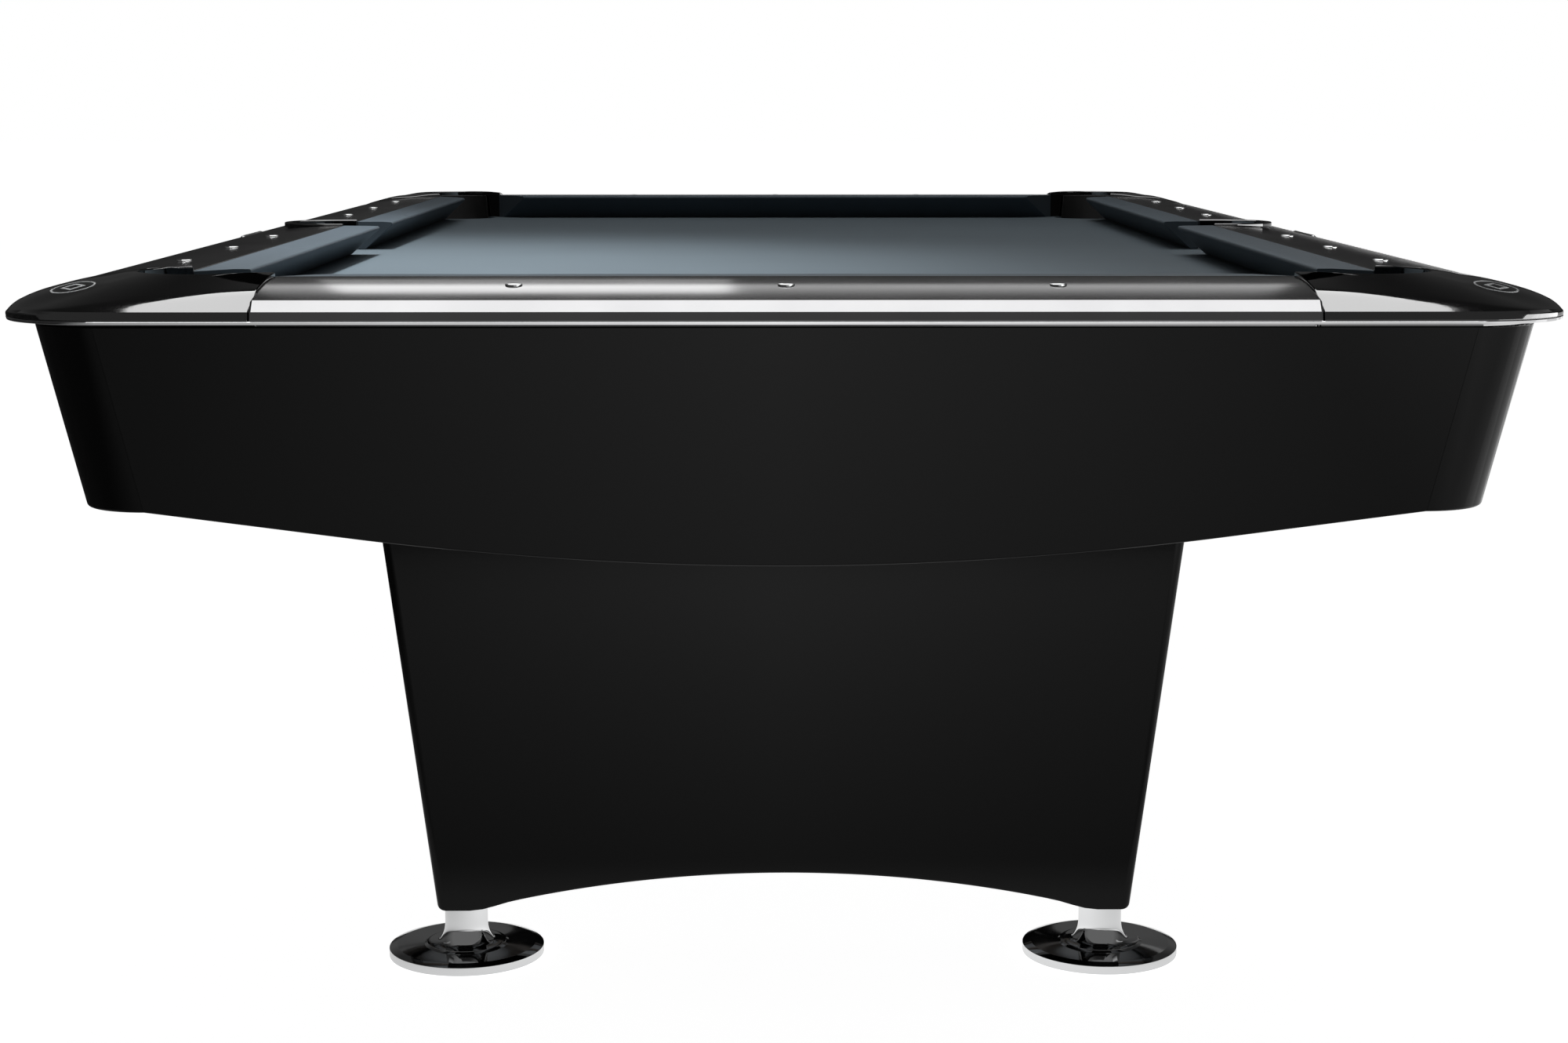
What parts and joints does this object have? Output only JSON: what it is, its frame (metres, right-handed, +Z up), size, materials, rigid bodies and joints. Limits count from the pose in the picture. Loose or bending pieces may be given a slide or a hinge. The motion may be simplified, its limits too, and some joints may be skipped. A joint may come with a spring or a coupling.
{
  "type": "pool table",
  "caption": "Drop-pocket pool table with a gloss black cabinet on two tapered pedestals, satin metal rails, blue-grey cloth and round chrome levelling feet.",
  "frame": {"origin": "on the floor, under the centre of the table", "axes": "+X across the table, +Y along its length, +Z up"},
  "size_m": [1.54, 2.66, 0.8063],
  "materials": {
    "black_gloss": "high gloss lacquered panel",
    "cap_gloss": "gloss moulded cap",
    "satin_metal": "satin, grey anodised",
    "cloth_bed": "worsted wool cloth, blue-grey",
    "cloth_cushion": "worsted wool cloth over rubber",
    "slate": "honed slate",
    "timber": "sawn timber",
    "pocket_liner": "moulded black liner",
    "chrome": "polished",
    "pad_rubber": "matt"
  },
  "bodies": {
    "table": {"bed_cloth": "cloth_bed", "cabinet_corner_far_left": "black_gloss", "cabinet_corner_far_right": "black_gloss", "cabinet_corner_near_left": "black_gloss", "cabinet_corner_near_right": "black_gloss", "cabinet_end_far": "black_gloss", "cabinet_end_near": "black_gloss", "cabinet_side_left": "black_gloss", "cabinet_side_right": "black_gloss", "corner_cap_far_left": "cap_gloss", "corner_cap_far_right": "cap_gloss", "corner_cap_near_left": "cap_gloss", "corner_cap_near_right": "cap_gloss", "cushion_end_far": "cloth_cushion", "cushion_end_near": "cloth_cushion", "cushion_left_far": "cloth_cushion", "cushion_left_near": "cloth_cushion", "cushion_right_far": "cloth_cushion", "cushion_right_near": "cloth_cushion", "foot_block_far_left": "black_gloss", "foot_block_far_right": "black_gloss", "foot_block_near_left": "black_gloss", "foot_block_near_right": "black_gloss", "frame_beam_left": "timber", "frame_beam_right": "timber", "frame_cross_far_inner": "timber", "frame_cross_far_outer": "timber", "frame_cross_near_inner": "timber", "frame_cross_near_outer": "timber", "pedestal_far_inner": "black_gloss", "pedestal_far_left": "black_gloss", "pedestal_far_outer": "black_gloss", "pedestal_far_right": "black_gloss", "pedestal_near_inner": "black_gloss", "pedestal_near_left": "black_gloss", "pedestal_near_outer": "black_gloss", "pedestal_near_right": "black_gloss", "pocket_far_left": "pocket_liner", "pocket_far_right": "pocket_liner", "pocket_middle_left": "pocket_liner", "pocket_middle_right": "pocket_liner", "pocket_near_left": "pocket_liner", "pocket_near_right": "pocket_liner", "rail_end_far": "satin_metal", "rail_end_near": "satin_metal", "rail_left": "satin_metal", "rail_right": "satin_metal", "side_cap_left": "cap_gloss", "side_cap_right": "cap_gloss", "slate_far": "slate", "slate_middle": "slate", "slate_near": "slate"},
    "pad_near_left": {"foot_pad_near_left": "pad_rubber"},
    "screw_foot_near_left": {"foot_near_left": "chrome"},
    "pad_near_right": {"foot_pad_near_right": "pad_rubber"},
    "screw_foot_near_right": {"foot_near_right": "chrome"},
    "pad_far_left": {"foot_pad_far_left": "pad_rubber"},
    "screw_foot_far_left": {"foot_far_left": "chrome"},
    "pad_far_right": {"foot_pad_far_right": "pad_rubber"},
    "screw_foot_far_right": {"foot_far_right": "chrome"}
  },
  "joints": [
    {"name": "foot_near_left_travel", "type": "slide", "parent": "table", "child": "pad_near_left", "axis": [0, 0, -1], "range_m": [0, 0.02]},
    {"name": "foot_near_left_turn", "type": "hinge", "parent": "pad_near_left", "child": "screw_foot_near_left", "pos_m": [-0.3665, -0.885, 0.0106], "axis": [0, 0, -1], "range_deg": [0, 2880]},
    {"name": "foot_near_right_travel", "type": "slide", "parent": "table", "child": "pad_near_right", "axis": [0, 0, -1], "range_m": [0, 0.02]},
    {"name": "foot_near_right_turn", "type": "hinge", "parent": "pad_near_right", "child": "screw_foot_near_right", "pos_m": [0.3665, -0.885, 0.0106], "axis": [0, 0, -1], "range_deg": [0, 2880]},
    {"name": "foot_far_left_travel", "type": "slide", "parent": "table", "child": "pad_far_left", "axis": [0, 0, -1], "range_m": [0, 0.02]},
    {"name": "foot_far_left_turn", "type": "hinge", "parent": "pad_far_left", "child": "screw_foot_far_left", "pos_m": [-0.3665, 0.885, 0.0106], "axis": [0, 0, -1], "range_deg": [0, 2880]},
    {"name": "foot_far_right_travel", "type": "slide", "parent": "table", "child": "pad_far_right", "axis": [0, 0, -1], "range_m": [0, 0.02]},
    {"name": "foot_far_right_turn", "type": "hinge", "parent": "pad_far_right", "child": "screw_foot_far_right", "pos_m": [0.3665, 0.885, 0.0106], "axis": [0, 0, -1], "range_deg": [0, 2880]}
  ],
  "couplings": [
    {"joint": "foot_near_left_travel", "follows": "foot_near_left_turn", "m_per_rad": 0.00039789},
    {"joint": "foot_near_right_travel", "follows": "foot_near_right_turn", "m_per_rad": 0.00039789},
    {"joint": "foot_far_left_travel", "follows": "foot_far_left_turn", "m_per_rad": 0.00039789},
    {"joint": "foot_far_right_travel", "follows": "foot_far_right_turn", "m_per_rad": 0.00039789}
  ]
}
